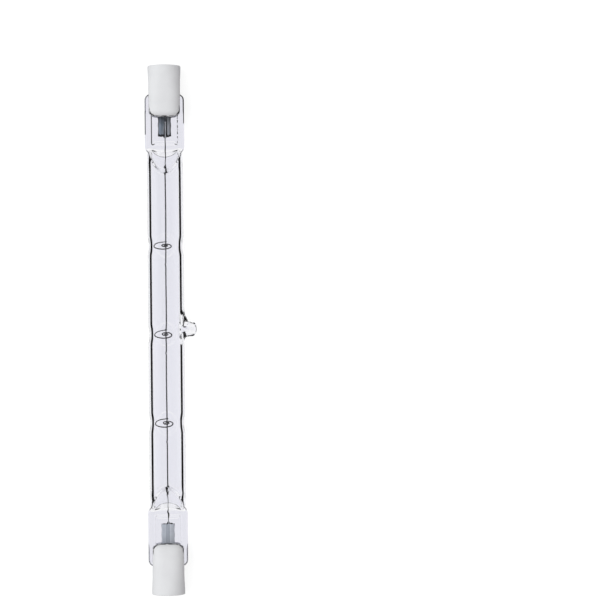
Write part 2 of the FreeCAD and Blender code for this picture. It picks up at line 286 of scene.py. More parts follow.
def resize(x, y, z, centre):
    bpy.ops.transform.resize(value=(x, y, z), center_override=centre)


def tidy_faces(piece, inside=False, merge=0.002):
    """Merge doubles, make every face point outwards, or inwards, and leave edit mode."""
    edit(piece)
    bpy.ops.mesh.select_mode(type="VERT")
    bpy.ops.mesh.select_all(action="SELECT")
    bpy.ops.mesh.remove_doubles(threshold=merge)
    bpy.ops.mesh.normals_make_consistent(inside=inside)
    volume = bmesh.from_edit_mesh(piece.data).calc_volume(signed=True)
    if (volume < 0) != inside:
        bpy.ops.mesh.flip_normals()
    leave()


def add_modifier(piece, kind, **settings):
    only(piece)
    bpy.ops.object.modifier_add(type=kind)
    for name, value in settings.items():
        setattr(piece.modifiers[-1], name, value)


def apply_all(piece):
    only(piece)
    for modifier in list(piece.modifiers):
        bpy.ops.object.modifier_apply(modifier=modifier.name)


def smooth(piece, degrees):
    only(piece)
    bpy.ops.object.shade_smooth_by_angle(angle=math.radians(degrees))


def turned_over(piece, name):
    """Copy with its own mesh for the lamp's other end, by half a turn about X."""
    only(piece)
    bpy.ops.object.duplicate(linked=False)
    copy = named(name)
    copy.matrix_world = Matrix.Rotation(math.pi, 4, "X") @ copy.matrix_world
    bpy.ops.object.transform_apply(location=True, rotation=True, scale=True)
    return copy


def lay_down(piece, material, slot, *nodes):
    """Put a finished piece in the CAD's frame, in place of its nodes."""
    only(piece)
    places = piece.data.attributes.new("lamp_place", "FLOAT_VECTOR", "POINT")
    for spot, vert in zip(places.data, piece.data.vertices):
        spot.vector = vert.co
    piece.matrix_world = lamp_frame @ piece.matrix_world
    bpy.ops.object.transform_apply(location=True, rotation=True, scale=True)
    piece.data.materials.clear()
    piece.data.materials.append(material)
    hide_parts(*nodes)
    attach(piece, "root")


def wire(name, points, diameter, order=3, resolution=8, sides=3):
    """Round wire along a smooth line near the points, as a closed mesh. A fourth number of a
    point is its share of the diameter."""
    deselect()
    bpy.ops.curve.primitive_nurbs_path_add()
    curve = named(name)
    line = curve.data.splines[0]
    line.points.add(max(len(points) - len(line.points), 0))
    for spot, point in zip(line.points, points):
        spot.co = (*point[:3], 1.0)
        spot.radius = point[3] if len(point) > 3 else 1.0
    line.order_u = order
    line.use_endpoint_u = True
    line.resolution_u = resolution
    curve.data.dimensions = "3D"
    curve.data.bevel_depth = diameter / 2
    curve.data.bevel_resolution = sides
    curve.data.use_fill_caps = True
    only(curve)
    bpy.ops.object.convert(target="MESH")
    piece = named(name)
    tidy_faces(piece, merge=0.0005)
    return piece


def joined(name, pieces):
    only(pieces[0])
    for piece in pieces[1:]:
        piece.select_set(True)
    bpy.ops.object.join()
    return named(name)


# Quartz envelope


def blade_quarter():
    """Points of a quarter of the blade's section, from its side to its middle line."""
    points = [(BLADE_HALF_WIDTH, 0.0), (BLADE_HALF_WIDTH, 0.25)]
    centre = BLADE_HALF_WIDTH - BLADE_EDGE_RADIUS
    low = BLADE_HALF_THICKNESS - BLADE_EDGE_RADIUS
    for i in range(9):
        angle = math.pi / 2 * i / 8
        points.append((centre + BLADE_EDGE_RADIUS * math.cos(angle),
                       low + BLADE_EDGE_RADIUS * math.sin(angle)))
    start = PANEL_HALF_WIDTH + 0.06
    for i in range(9):
        points.append((start - (PANEL_SIDE_SLOPE + 0.12) * i / 8, BLADE_HALF_THICKNESS))
    inner = points[-1][0]
    for i in range(1, 14):
        points.append((inner * (1 - i / 13), BLADE_HALF_THICKNESS))
    return points


def ring_places():
    """Angle on the round tube, and place on the blade, of every vertex round the skin."""
    quarter = blade_quarter()
    walked = [0.0]
    for before, after in zip(quarter, quarter[1:]):
        walked.append(walked[-1] + math.dist(before, after))
    first = [(math.pi / 2 * w / walked[-1], x, y) for w, (x, y) in zip(walked, quarter)]
    second = [(math.pi - a, -x, y) for a, x, y in reversed(first[:-1])]
    half = first + second
    lower = [(2 * math.pi - a, x, -y) for a, x, y in reversed(half[1:-1])]
    return half + lower


def panel_depth(x, depth):
    """How far the pressed panel lies below the rails at a place on the blade."""
    past = min(max(depth - (PANEL_INNER_DEPTH - PANEL_CORNER), 0.0), PANEL_CORNER)
    half_width = PANEL_HALF_WIDTH - PANEL_CORNER + math.sqrt(PANEL_CORNER ** 2 - past ** 2)
    across = (half_width - abs(x)) / PANEL_SIDE_SLOPE
    middle = smooth_step((PANEL_MIDDLE - abs(x)) / 0.7)
    end_slope = PANEL_SIDE_SLOPE + (PANEL_END_SLOPE - PANEL_SIDE_SLOPE) * middle
    down = (PANEL_INNER_DEPTH - depth) / end_slope
    return PANEL_RECESS * smooth_step(across) * smooth_step(down)


def waist(along_lamp, cosine):
    """How far the tube is drawn in at a support; beside the stub only on the far side."""
    depth = 0.0
    for centre in SUPPORT_HEIGHTS:
        near = smooth_step(1.15 * (1 - abs(along_lamp - centre) / WAIST_REACH))
        share = 1.0
        if abs(centre - STUB_HEIGHT) < NEAR_STUB:
            share = smooth_step(0.5 - cosine)
        depth += WAIST_DEPTH * near * share
    return depth


def ripple(place, amount, scale):
    """Slight unevenness of worked glass."""
    return amount * noise.noise(Vector(place) * scale)


def pressed_point(ring, number, z):
    """Place of one vertex of the outer skin, from its number round the ring and its height."""
    angle, blade_x, blade_y = ring[number]
    depth = HALF_LENGTH - abs(z)
    radius = TUBE_RADIUS - waist(z, math.cos(angle))
    x = radius * math.cos(angle)
    y = radius * math.sin(angle)
    from_jaw = math.hypot(x, max(depth - JAW_DEPTH, 0.0))
    opened = (from_jaw - JAW_FLAT_RADIUS) / (JAW_ROUND_RADIUS - JAW_FLAT_RADIUS)
    if opened < JAW_REACH:
        gap = BLADE_HALF_THICKNESS + (TUBE_RADIUS - BLADE_HALF_THICKNESS) * max(opened, 0.0)
        if abs(y) > 0.6:
            y = math.copysign(max(softly_lower(abs(y), gap, JAW_SOFTNESS), 0.0), y)
        worked = smooth_step((JAW_REACH - opened) / 0.6)
        out = 1 + ripple((x, y, z), amount=0.012, scale=0.7) * worked
        x *= out
        y *= out
    share = smooth_step((BLADE_MEETS_TUBE - depth) / (BLADE_MEETS_TUBE - BLADE_INNER_DEPTH))
    if share > 0:
        up = abs(blade_y)
        if up > BLADE_HALF_THICKNESS - 0.01:
            up -= panel_depth(blade_x, depth)
        corner = (BLADE_OUTER_DEPTH + BLADE_CORNER - depth) / BLADE_CORNER
        corner = min(max(corner, 0.0), 1.0)
        narrow = BLADE_CORNER * (1 - math.sqrt(1 - corner * corner))
        blade_x *= 1 - narrow / BLADE_HALF_WIDTH
        up *= 1 - 0.3 * narrow / BLADE_CORNER
        x += (blade_x - x) * share
        y += (math.copysign(up, blade_y) - y) * share
    return Vector((x, y, z))


def waist_heights():
    """Heights of the rings at the waists away from the stub."""
    heights = []
    for centre in (SUPPORT_HEIGHTS[0], SUPPORT_HEIGHTS[2]):
        heights += spread(centre - WAIST_REACH, centre + WAIST_REACH, 14)
    return heights


def skin_heights():
    """Heights of the rings of the outer skin, closer where the form changes."""
    round_corner = [1 - math.sin(math.pi / 2 * i / 7) for i in range(7, -1, -1)]
    depths = [BLADE_OUTER_DEPTH + BLADE_CORNER * share for share in round_corner]
    depths += [8.6, 9.5, 10.0, 10.5, 11.5, 12.7, 13.3, 14.4, 15.2, 15.8, 16.4]
    depths += spread(16.9, 18.3, 14)
    depths += spread(18.5, 23.3, 28)
    depths += [23.8, 24.6, 26.0]
    heights = [height(depth) for depth in depths] + [-height(depth) for depth in depths]
    heights += waist_heights()
    heights += spread(STUB_HEIGHT - 3.1, STUB_HEIGHT + 4.4, 25)
    heights += [-29.0, -26.0, -14.0, -10.0, -6.0, -4.2, -3.5, 5.0, 6.0, 10.0, 14.0, 24.0, 28.0]
    return sorted(set(round(z, 4) for z in heights))


def shaped_tube(name, count, heights, place_of):
    """Open tube of equal rings, drawn from a circle and extruded from height to height. Each
    vertex then moves to where place_of(number round the ring, height) says."""
    deselect()
    bpy.ops.mesh.primitive_circle_add(vertices=count, radius=1.0, enter_editmode=True)
    tube = named(name)
    shift(heights[0])
    for low, high in zip(heights, heights[1:]):
        extrude(z=high - low)
    leave()
    for vert in tube.data.vertices:
        angle = math.atan2(vert.co.y, vert.co.x)
        number = round(angle / (2 * math.pi) * count) % count
        z = min(heights, key=lambda h: abs(h - vert.co.z))
        vert.co = place_of(number, z)
    return tube


def on_stub_side(place):
    return place.x > 1.5 and abs(place.z) < 8


def draw_stub(skin, hole, root, steps, tip):
    """Cut a hole in the side of a skin, bridge it to an oval neck and draw that out to a tip."""
    edit(skin)
    pick(skin, hole, "FACE")
    bpy.ops.mesh.delete(type="FACE")
    pick_open(skin, on_stub_side)
    mesh = bmesh.from_edit_mesh(skin.data)
    count = sum(edge.select for edge in mesh.edges)
    x, half_y, half_z = root
    bpy.ops.mesh.primitive_circle_add(
        vertices=count, radius=1.0, location=(x, 0.0, STUB_HEIGHT), rotation=(0.0, math.pi / 2, 0.0),
    )
    resize(1.0, half_y, half_z, (x, 0.0, STUB_HEIGHT))
    pick_open(skin, on_stub_side)
    mesh = bmesh.from_edit_mesh(skin.data)
    for edge in mesh.edges:
        if not edge.link_faces and all(abs(vert.co.x - x) < 1e-4 for vert in edge.verts):
            edge.select_set(True)
    bmesh.update_edit_mesh(skin.data)
    bpy.ops.mesh.bridge_edge_loops(number_cuts=3, interpolation="SURFACE", smoothness=1.0)
    pick_open(skin, lambda p: abs(p.x - x) < 1e-3 and abs(p.z) < 8)
    for next_x, next_y, next_z in steps:
        extrude(x=next_x - x)
        resize(1.0, next_y / half_y, next_z / half_z, (next_x, 0.0, STUB_HEIGHT))
        x, half_y, half_z = next_x, next_y, next_z
    extrude(x=tip - x)
    bpy.ops.mesh.merge(type="CENTER")
    leave()


def stub_flare(y, z):
    """How far the tube swells towards the stub, further up the tube than down."""
    reach, rise, curve = (4.5, 2.0, 1.15) if z > STUB_HEIGHT else (2.9, 1.3, 1.5)
    away = math.hypot((z - STUB_HEIGHT) / reach, y / FLARE_HALF_WIDTH)
    return min(rise * max(1 - away, 0.0) ** curve, FLARE_MOST)


def in_stub_root(place):
    return place.x > 4.2 and math.hypot((place.z - STUB_HEIGHT) / 1.85, place.y / 1.75) < 1


def round_stub(place):
    """Whether a place is on the stub's neck or on the tube's flare round it."""
    return 3.6 < place.x < 6.1 and abs(place.y) < 2.8 and -3.3 < place.z - STUB_HEIGHT < 4.2


def close_blade_ends(tube):
    """Draw the skin's open ends in a little and fill them."""
    edit(tube)
    limit = height(BLADE_OUTER_DEPTH)
    for end in (-1, 1):
        pick_open(tube, lambda p: p.z * end > limit - 0.01)
        extrude()
        resize(0.85, 0.6, 1.0, (0.0, 0.0, end * limit))
        bpy.ops.mesh.edge_face_add()
    leave()


def outer_skin():
    """The tube's outside: round, pressed flat at its ends, with the exhaust stub on its side."""
    ring = ring_places()
    tube = shaped_tube("quartz_tube", len(ring), skin_heights(), lambda n, z: pressed_point(ring, n, z))
    close_blade_ends(tube)
    for vert in tube.data.vertices:
        if vert.co.x > 1.0:
            vert.co.x += stub_flare(vert.co.y, vert.co.z) * smooth_step((vert.co.x - 1.0) / 2.0)
    draw_stub(tube, in_stub_root, STUB_ROOT, STUB_STEPS, STUB_TIP)
    edit(tube)
    pick(tube, round_stub)
    bpy.ops.mesh.vertices_smooth(factor=0.5, repeat=14)
    leave()
    for vert in tube.data.vertices:
        if vert.co.x > 4.7 and abs(vert.co.z) < 5:
            lump = ripple(vert.co, amount=0.16, scale=1.1)
            share = smooth_step((vert.co.x - 4.7) / 1.2)
            vert.co += Vector((0.3 * lump, 0.3 * lump, 1.2 * lump)) * share
    tidy_faces(tube)
    return tube


def bore_point(number, z):
    """Place of one vertex of the bore's skin, which the jaws close along an arch."""
    angle = 2 * math.pi * number / BORE_VERTICES
    radius = BORE_RADIUS - BORE_WAIST_SHARE * waist(z, math.cos(angle))
    x = radius * math.cos(angle)
    y = radius * math.sin(angle)
    end = height(WHEEL_DEPTH + WHEEL_RADIUS)
    start = height(BORE_ROUND_DEPTH)
    if abs(z) > start:
        share = (abs(z) - start) / (end - start)
        last = height(WHEEL_DEPTH + math.sqrt(WHEEL_RADIUS ** 2 - x * x))
        z = math.copysign(start + (last - start) * share, z)
        depth = HALF_LENGTH - abs(z)
        past = max(math.hypot(x, depth - WHEEL_DEPTH) - WHEEL_RADIUS, 0.0)
        limit = BORE_TIP * math.sqrt(min(past / BORE_TIP, 1.0)) + BORE_FLANK * past
        if share > 0.9999:
            y = 0.0
        elif abs(y) > 1e-6:
            y = math.copysign(max(softly_lower(abs(y), limit, min(0.25, limit / 2)), 0.0), y)
    return Vector((x, y, z))


def bore_heights():
    """Heights of the rings of the bore's skin, closer towards its closed ends."""
    end = height(WHEEL_DEPTH + WHEEL_RADIUS)
    start = height(BORE_ROUND_DEPTH)
    near = [start + (end - start) * (1 - (1 - i / 30) ** 1.7) for i in range(31)]
    heights = near + [-z for z in near]
    heights += waist_heights()
    heights += spread(-3.4, -1.1, 8) + spread(STUB_HEIGHT - 1.0, STUB_HEIGHT + 1.0, 10)
    heights += [-33.8, -31.0, -27.0, -15.0, -10.0, -6.0]
    heights += [1.4, 2.0, 4.0, 8.0, 12.0, 25.0, 30.0, 33.8]
    return sorted(set(round(z, 4) for z in heights))


def in_passage(place):
    return place.x > 2 and abs(place.z - STUB_HEIGHT) < 0.99 and abs(place.y) < 0.97


def bore_skin():
    """The tube's inside, with its faces turned inwards."""
    bore = shaped_tube("bore", BORE_VERTICES, bore_heights(), bore_point)
    draw_stub(bore, in_passage, PASSAGE_ROOT, PASSAGE_STEPS, PASSAGE_TIP)
    tidy_faces(bore, inside=True)
    return bore


def painted_band_strength(x, z):
    """How strong the painted dark line is where the outer skin is steep: 1 is unbroken, less is broken or
    faint. The tube has full lines but for a gap at the stub, and the blades have their own."""
    depth = HALF_LENGTH - abs(z)
    tube_depth = 18.6
    if depth > tube_depth:
        strength = smooth_step((depth - tube_depth) / 0.4)
        if x > 2.9:
            kept = 0.42 * smooth_step((x - 4.9) / 0.5)
            beside_stub = smooth_step((2.0 - z) / 0.4) * smooth_step((z + 3.2) / 0.3)
            strength *= 1 - (1 - kept) * beside_stub
        return strength
    if z < 0:
        return 0.22
    if abs(x) > 3.7:
        start, stop = (10.2, 15.5) if x < 0 else (6.8, 13.0)
        started = smooth_step((depth - start) / 0.5 + 0.5)
        return 0.3 + 0.6 * started * smooth_step((stop - depth) / 0.5 + 0.5)
    if abs(x) > 2.2:
        return 1.0 if x < 0 else 0.58
    return 0.0


def quartz_envelope():
    """One piece of glass, marked for its material: line is the strength of the painted dark lines, and
    blade is 1 on the pinched ends and 0 on the round tube."""
    outer = outer_skin()
    lines = outer.data.attributes.new("line", "FLOAT", "POINT")
    blade = outer.data.attributes.new("blade", "FLOAT", "POINT")
    for number, vert in enumerate(outer.data.vertices):
        lines.data[number].value = painted_band_strength(vert.co.x, vert.co.z)
        blade.data[number].value = smooth_step((19.0 - HALF_LENGTH + abs(vert.co.z)) / 0.6)
    piece = joined("quartz_tube", [outer, bore_skin()])
    smooth(piece, 50)
    return piece


# Filament, supports, leads and foils


def coil_bend(z):
    """Sideways wander of the coil at a height, with a small kink below each support."""
    bend = 0.05 * math.sin(z / 9.0) + 0.03 * math.sin(z / 3.7 + 1)
    for centre in SUPPORT_HEIGHTS:
        kink = centre - KINK_BELOW_SUPPORT
        bend -= 0.11 * math.exp(-((z - kink) / 0.22) ** 2)
    return bend + 0.12 * smooth_step((z - 10) / 28)


def filament_leg(name, end, bends):
    """Wire from the coil's end at +Z or -Z into the inner lead."""
    top = height(COIL_END_DEPTH)
    points = [(x, y, end * (top + past), share) for x, y, past, share in bends]
    return wire(name, points, LEG_WIRE)


def filament():
    """Coiled wire with a thinner, slightly bent leg at each end."""
    length = 2 * height(COIL_END_DEPTH)
    turns = round(length / COIL_PITCH)
    deselect()
    bpy.ops.mesh.primitive_circle_add(
        vertices=6, radius=COIL_WIRE / 2, location=(COIL_RADIUS, 0.0, 0.0),
        rotation=(math.pi / 2, 0.0, 0.0),
    )
    coil = named("filament_coil")
    bpy.ops.object.transform_apply(location=True, rotation=True, scale=True)
    add_modifier(
        coil, "SCREW", axis="Z", angle=2 * math.pi, screw_offset=length / turns, iterations=turns,
        steps=12, render_steps=12, use_merge_vertices=False,
    )
    apply_all(coil)
    for vert in coil.data.vertices:
        vert.co.z -= length / 2
    edit(coil)
    for end in (-1, 1):
        pick_open(coil, lambda p: p.z * end > length / 2 - 0.6)
        bpy.ops.mesh.edge_face_add()
    leave()
    tidy_faces(coil, merge=0.0005)
    for vert in coil.data.vertices:
        vert.co.x += coil_bend(vert.co.z)
    legs = [filament_leg("leg_a", 1, UPPER_LEG), filament_leg("leg_b", -1, LOWER_LEG)]
    return joined("filament_coil", [coil] + legs)


def spiral_support(number, centre):
    """Bent wire that rests in the bore with its outer turn and grips the coil with its inner one."""
    points = []
    for degrees, radius in SUPPORT_TURNS:
        angle = math.radians(degrees)
        y = radius * math.sin(angle)
        points.append((
            radius * math.cos(angle),
            y * math.cos(SUPPORT_LEAN),
            centre + y * math.sin(SUPPORT_LEAN),
        ))
    return wire(f"spiral_support_{number}", points, SUPPORT_WIRE, order=4, resolution=6)


def seal_foil():
    """Thin foil with feathered edges and a slightly ragged inner end."""
    length = FOIL_INNER_DEPTH - FOIL_OUTER_DEPTH
    deselect()
    bpy.ops.mesh.primitive_grid_add(x_subdivisions=28, y_subdivisions=60, size=1.0, enter_editmode=True)
    foil = named("foil_a")
    resize(FOIL_WIDTH, length, 1.0, (0.0, 0.0, 0.0))
    leave()
    middle = height((FOIL_OUTER_DEPTH + FOIL_INNER_DEPTH) / 2)
    for vert in foil.data.vertices:
        x, y = vert.co.x, vert.co.y
        inner_end = smooth_step((-y - length / 2 + 0.9) / 0.9)
        rag = ripple((x * 2.2, 3.0, 0.0), amount=0.22, scale=1.6) * inner_end
        wave = ripple((x, y, 0.0), amount=0.03, scale=1.2)
        side = 0.025 * smooth_step((abs(x) - 0.9) / 0.5) * math.sin(y * 3.1)
        vert.co = Vector((x + side * x, FOIL_OFFSET + wave, middle + y + rag))
    add_modifier(foil, "SOLIDIFY", thickness=FOIL_THICKNESS, offset=0.0)
    apply_all(foil)
    edit(foil)
    pick(foil, lambda p: abs(p.x) > 1.38)
    resize(1.0, 0.3, 1.0, (0.0, FOIL_OFFSET, 0.0))
    leave()
    tidy_faces(foil, merge=0.0005)
    smooth(foil, 40)
    return foil


def inner_lead():
    """Lead welded on the foil, pressed flat on its far side."""
    bends = ((0.24, LEAD_OUTER_DEPTH), (0.22, 13.6), (0.16, 14.8), (0.12, 15.6), (0.12, LEAD_INNER_DEPTH))
    points = [(x, 0.0, height(depth)) for x, depth in bends]
    lead = wire("lead_in_a", points, LEAD_WIRE, sides=5)
    for vert in lead.data.vertices:
        vert.co.y = min(vert.co.y, LEAD_FLAT_OFFSET)
    smooth(lead, 40)
    return lead


# Caps and contacts


def cap_section(place):
    """Place of a point of the plain round cap once its body is fuller and flatter at its sides."""
    inwards = smooth_step((HALF_LENGTH - place.z) / SLOT_DEPTH)
    angle = math.atan2(place.y, place.x)
    power = 2.0 + 0.75 * inwards
    fuller = (abs(math.cos(angle)) ** power + abs(math.sin(angle)) ** power) ** (-1 / power)
    beside_slot = 1 - smooth_step(abs(place.y) / 1.8)
    flatter = 1 - inwards * (0.012 + 0.062 * beside_slot)
    return Vector((place.x * fuller * flatter, place.y * fuller, place.z))


def mark_rim_shadow(cap):
    """Mark the inner rim of the cap, where a painted shadow line lies against the glass."""
    rim = cap.data.attributes.new("rim", "FLOAT", "POINT")
    for spot, vert in zip(rim.data, cap.data.vertices):
        from_axis = math.hypot(vert.co.x, SLOT_WIDTH / 2)
        sunk = min(max((from_axis - CAP_RADIUS + CAP_ROUNDING) / CAP_ROUNDING, 0.0), 1.0)
        outline = CAP_LENGTH - CAP_ROUNDING + CAP_ROUNDING * math.sqrt(1 - sunk * sunk)
        beyond = HALF_LENGTH - vert.co.z - outline + 0.2
        spot.value = smooth_step(beyond / 0.12) if abs(vert.co.y) > 1.78 else 0.0


def round_cap():
    """The cap's body: fuller inwards, rounded at its inner end, recessed at its outer end."""
    deselect()
    bpy.ops.mesh.primitive_cylinder_add(
        vertices=96, radius=CAP_RADIUS, depth=CAP_LENGTH, enter_editmode=True,
    )
    cap = named("cap_a")
    shift(height(CAP_LENGTH / 2))
    inner = height(CAP_LENGTH)
    for depth in (1.0, 2.2, 3.4, 4.6, 6.1, 7.5, 8.8):
        bpy.ops.mesh.select_all(action="SELECT")
        bpy.ops.mesh.bisect(plane_co=(0.0, 0.0, height(depth)), plane_no=(0.0, 0.0, 1.0))
    pick(cap, lambda p: p.z < inner + 0.01, "EDGE")
    bpy.ops.mesh.bevel(offset=CAP_ROUNDING, segments=9, profile=0.5)
    pick(cap, lambda p: p.z < inner + 0.01, "FACE")
    for width, drop in ((0.35, 0.05), (0.45, 0.05), (0.6, 0.03), (0.8, 0.02)):
        bpy.ops.mesh.inset(thickness=width)
        shift(-drop)
    leave()
    for vert in cap.data.vertices:
        vert.co = cap_section(vert.co)
    edit(cap)
    pick(cap, lambda p: p.z > HALF_LENGTH - 0.01, "EDGE")
    bpy.ops.mesh.bevel(offset=0.22, segments=3, profile=0.5)
    pick(cap, lambda p: p.z > HALF_LENGTH - 0.01 and math.hypot(p.x, p.y) < 1, "FACE")
    bpy.ops.mesh.inset(thickness=1.35)
    bpy.ops.mesh.inset(thickness=RECESS_CHAMFER)
    shift(-RECESS_CHAMFER)
    extrude(z=RECESS_CHAMFER - RECESS_DEPTH)
    bpy.ops.mesh.inset(thickness=0.33)
    extrude(z=-CONTACT_THICKNESS)
    leave()
    tidy_faces(cap)
    return cap


def ceramic_cap():
    """Round cap with a slot for the blade cut through its inner part, and softened edges."""
    cap = round_cap()
    deselect()
    bpy.ops.mesh.primitive_cube_add(size=1.0, enter_editmode=True)
    slot = named("slot_tool")
    resize(12.0, SLOT_WIDTH, 12.0, (0.0, 0.0, 0.0))
    shift(height(SLOT_DEPTH) - 6.0)
    leave()
    add_modifier(cap, "BOOLEAN", operation="DIFFERENCE", object=slot, solver="EXACT")
    add_modifier(
        cap, "BEVEL", width=0.12, segments=2, limit_method="ANGLE", angle_limit=math.radians(50),
    )
    apply_all(cap)
    bpy.data.objects.remove(slot)
    smooth(cap, 32)
    mark_rim_shadow(cap)
    return cap


def contact_button():
    """Button with a rounded edge, a shallow dimple and a shank, at the bottom of the recess."""
    deselect()
    bpy.ops.mesh.primitive_cylinder_add(
        vertices=64, radius=CONTACT_RADIUS, depth=CONTACT_THICKNESS, enter_editmode=True,
    )
    button = named("button_a")
    shift(height(RECESS_DEPTH + CONTACT_THICKNESS / 2))
    pick(button, lambda p: p.z > height(1.95), "EDGE")
    bpy.ops.mesh.bevel(offset=0.2, segments=4, profile=0.5)
    pick(button, lambda p: p.z > height(1.95), "FACE")
    for width in (0.45, 0.15):
        bpy.ops.mesh.inset(thickness=width)
        shift(-0.06)
    pick(button, lambda p: p.z < height(2.65), "FACE")
    bpy.ops.mesh.inset(thickness=0.8)
    extrude(z=-1.7)
    leave()
    tidy_faces(button)
    smooth(button, 35)
    return button


# Materials


class Nodes:
    """A node tree, with short calls to add nodes."""

    def __init__(self, tree):
        self.nodes = tree.nodes
        self.links = tree.links

    def add(self, kind, **values):
        node = self.nodes.new(kind)
        for name, value in values.items():
            if name in node.inputs:
                node.inputs[name].default_value = value
            else:
                setattr(node, name, value)
        return node

    def give(self, socket, value):
        """Link another socket to this one, or set it to a number or a colour."""
        if isinstance(value, bpy.types.NodeSocket):
            self.links.new(value, socket)
        else:
            socket.default_value = (*value, 1.0) if isinstance(value, tuple) else value

    def maths(self, operation, *values, clamp=False):
        """Result of a Math node, whose values are numbers or sockets."""
        node = self.add("ShaderNodeMath", operation=operation, use_clamp=clamp)
        for socket, value in zip(node.inputs, values):
            self.give(socket, value)
        return node.outputs[0]

    def times(self, one, other, clamp=False):
        return self.maths("MULTIPLY", one, other, clamp=clamp)

    def minus(self, one, other):
        return self.maths("SUBTRACT", one, other)


class Finish(Nodes):
    """A material with a Principled shader."""

    def __init__(self, name, roughness, **sockets):
        self.material = bpy.data.materials.new(name)
        self.material.use_nodes = True
        super().__init__(self.material.node_tree)
        self.shader = self.nodes["Principled BSDF"]
        self.shade("Roughness", roughness)
        for socket, value in sockets.items():
            self.shade(socket.replace("_", " "), value)

    def shade(self, socket, value):
        """Give a value to a socket of the shader."""
        self.give(self.shader.inputs[socket], value)

    def mark(self, name):
        """What a mark on the mesh says at the surface."""
        return self.add("ShaderNodeAttribute", attribute_name=name).outputs["Fac"]

    def part(self, vector, axis):
        """One of the three numbers of a vector."""
        parts = self.add("ShaderNodeSeparateXYZ")
        self.links.new(vector, parts.inputs["Vector"])
        return parts.outputs[axis]

    def lamp_place(self, axis):
        """Where the surface is in the lamp's own frame, in millimetres."""
        place = self.add("ShaderNodeAttribute", attribute_name="lamp_place")
        return self.part(place.outputs["Vector"], axis)

    def between(self, value, start, stop):
        """0 on the start's side, 1 on the stop's side, and a slope between the two."""
        node = self.add("ShaderNodeMapRange")
        node.inputs["From Min"].default_value = start
        node.inputs["From Max"].default_value = stop
        self.links.new(value, node.inputs["Value"])
        return node.outputs["Result"]

    def blend(self, share, one, other):
        """Mix of two colours or sockets, all of the other where the share is 1."""
        node = self.add("ShaderNodeMix", data_type="RGBA")
        self.links.new(share, node.inputs["Factor"])
        self.give(node.inputs[6], one)
        self.give(node.inputs[7], other)
        return node.outputs[2]

    def pattern(self, scale, stretch=(1.0, 1.0, 1.0), detail=4.0, rough=0.55):
        """Noise in object space, drawn out along an axis where its stretch is below 1."""
        place = self.add("ShaderNodeTexCoord")
        mapping = self.add("ShaderNodeMapping")
        mapping.inputs["Scale"].default_value = stretch
        self.links.new(place.outputs["Object"], mapping.inputs["Vector"])
        grain = self.add("ShaderNodeTexNoise", Scale=scale, Detail=detail, Roughness=rough)
        self.links.new(mapping.outputs["Vector"], grain.inputs["Vector"])
        return grain.outputs["Fac"]

    def colours(self, factor, stops):
        """Colour ramp with a stop for each place and colour."""
        ramp = self.add("ShaderNodeValToRGB")
        while len(ramp.color_ramp.elements) < len(stops):
            ramp.color_ramp.elements.new(0.5)
        for element, (place, colour) in zip(ramp.color_ramp.elements, stops):
            element.position = place
            element.color = (*colour, 1.0)
        self.links.new(factor, ramp.inputs["Fac"])
        return ramp.outputs["Color"]

    def vary(self, socket, factor, low, high):
        """Let a socket of the shader follow a factor, from low to high."""
        change = self.add("ShaderNodeMapRange")
        change.inputs["To Min"].default_value = low
        change.inputs["To Max"].default_value = high
        self.links.new(factor, change.inputs["Value"])
        self.shade(socket, change.outputs["Result"])

    def bump(self, factor, distance):
        bump = self.add("ShaderNodeBump", Distance=distance)
        self.links.new(factor, bump.inputs["Height"])
        self.shade("Normal", bump.outputs["Normal"])


def painted_support_rings(glass, strength):
    """1 on an elliptical painted highlight ring round each support, as strong as the mesh's lines are
    there.
    """
    half_spacing = (SUPPORT_HEIGHTS[2] - SUPPORT_HEIGHTS[1]) / 2
    across = glass.maths("DIVIDE", glass.lamp_place("X"), RING_ACROSS)
    past_support = glass.minus(glass.lamp_place("Z"), SUPPORT_HEIGHTS[2])
    from_support = glass.maths("PINGPONG", past_support, half_spacing)
    lengthways = glass.maths("DIVIDE", from_support, RING_ALONG)
    squares = glass.maths("ADD", glass.times(across, across), glass.times(lengthways, lengthways))
    off_ring = glass.minus(glass.maths("SQRT", squares), 1.0)
    ring = glass.between(glass.maths("ABSOLUTE", off_ring), 0.055, 0.025)
    middle = glass.between(glass.maths("ABSOLUTE", glass.lamp_place("Z")), 32.0, 30.0)
    return glass.times(glass.times(ring, middle), strength)


def painted_slope_highlights(glass):
    """1 where the skin slopes a little along the lamp, on the waists and the shoulders, where a highlight
    is painted.
    """
    normal = glass.add("ShaderNodeTexCoord").outputs["Normal"]
    slope = glass.maths("ABSOLUTE", glass.part(normal, "Y"))
    return glass.times(glass.between(slope, 0.17, 0.24), glass.between(slope, 0.42, 0.3))


def painted_dark_bands(glass, blade, strength):
    """1 in the painted dark bands of the outer skin, broken by specks where they are faint."""
    facing = glass.add("ShaderNodeLayerWeight", Blend=0.5).outputs["Facing"]
    tube_starts = glass.between(facing, *TUBE_BAND_STARTS)
    tube_stops = glass.between(facing, *TUBE_BAND_STOPS)
    blade_starts = glass.times(glass.between(facing, *BLADE_BAND_STARTS), blade)
    blade_stops = glass.times(glass.between(facing, *BLADE_BAND_STOPS), blade)
    starts = glass.maths("MAXIMUM", tube_starts, blade_starts)
    stops = glass.maths("MAXIMUM", tube_stops, blade_stops)
    limit = glass.maths("ADD", glass.times(strength, 0.8), 0.1)
    specks = glass.pattern(1900.0, detail=1.0)
    unbroken = glass.times(glass.minus(limit, specks), 14.0, clamp=True)
    return glass.times(glass.times(starts, stops), unbroken)


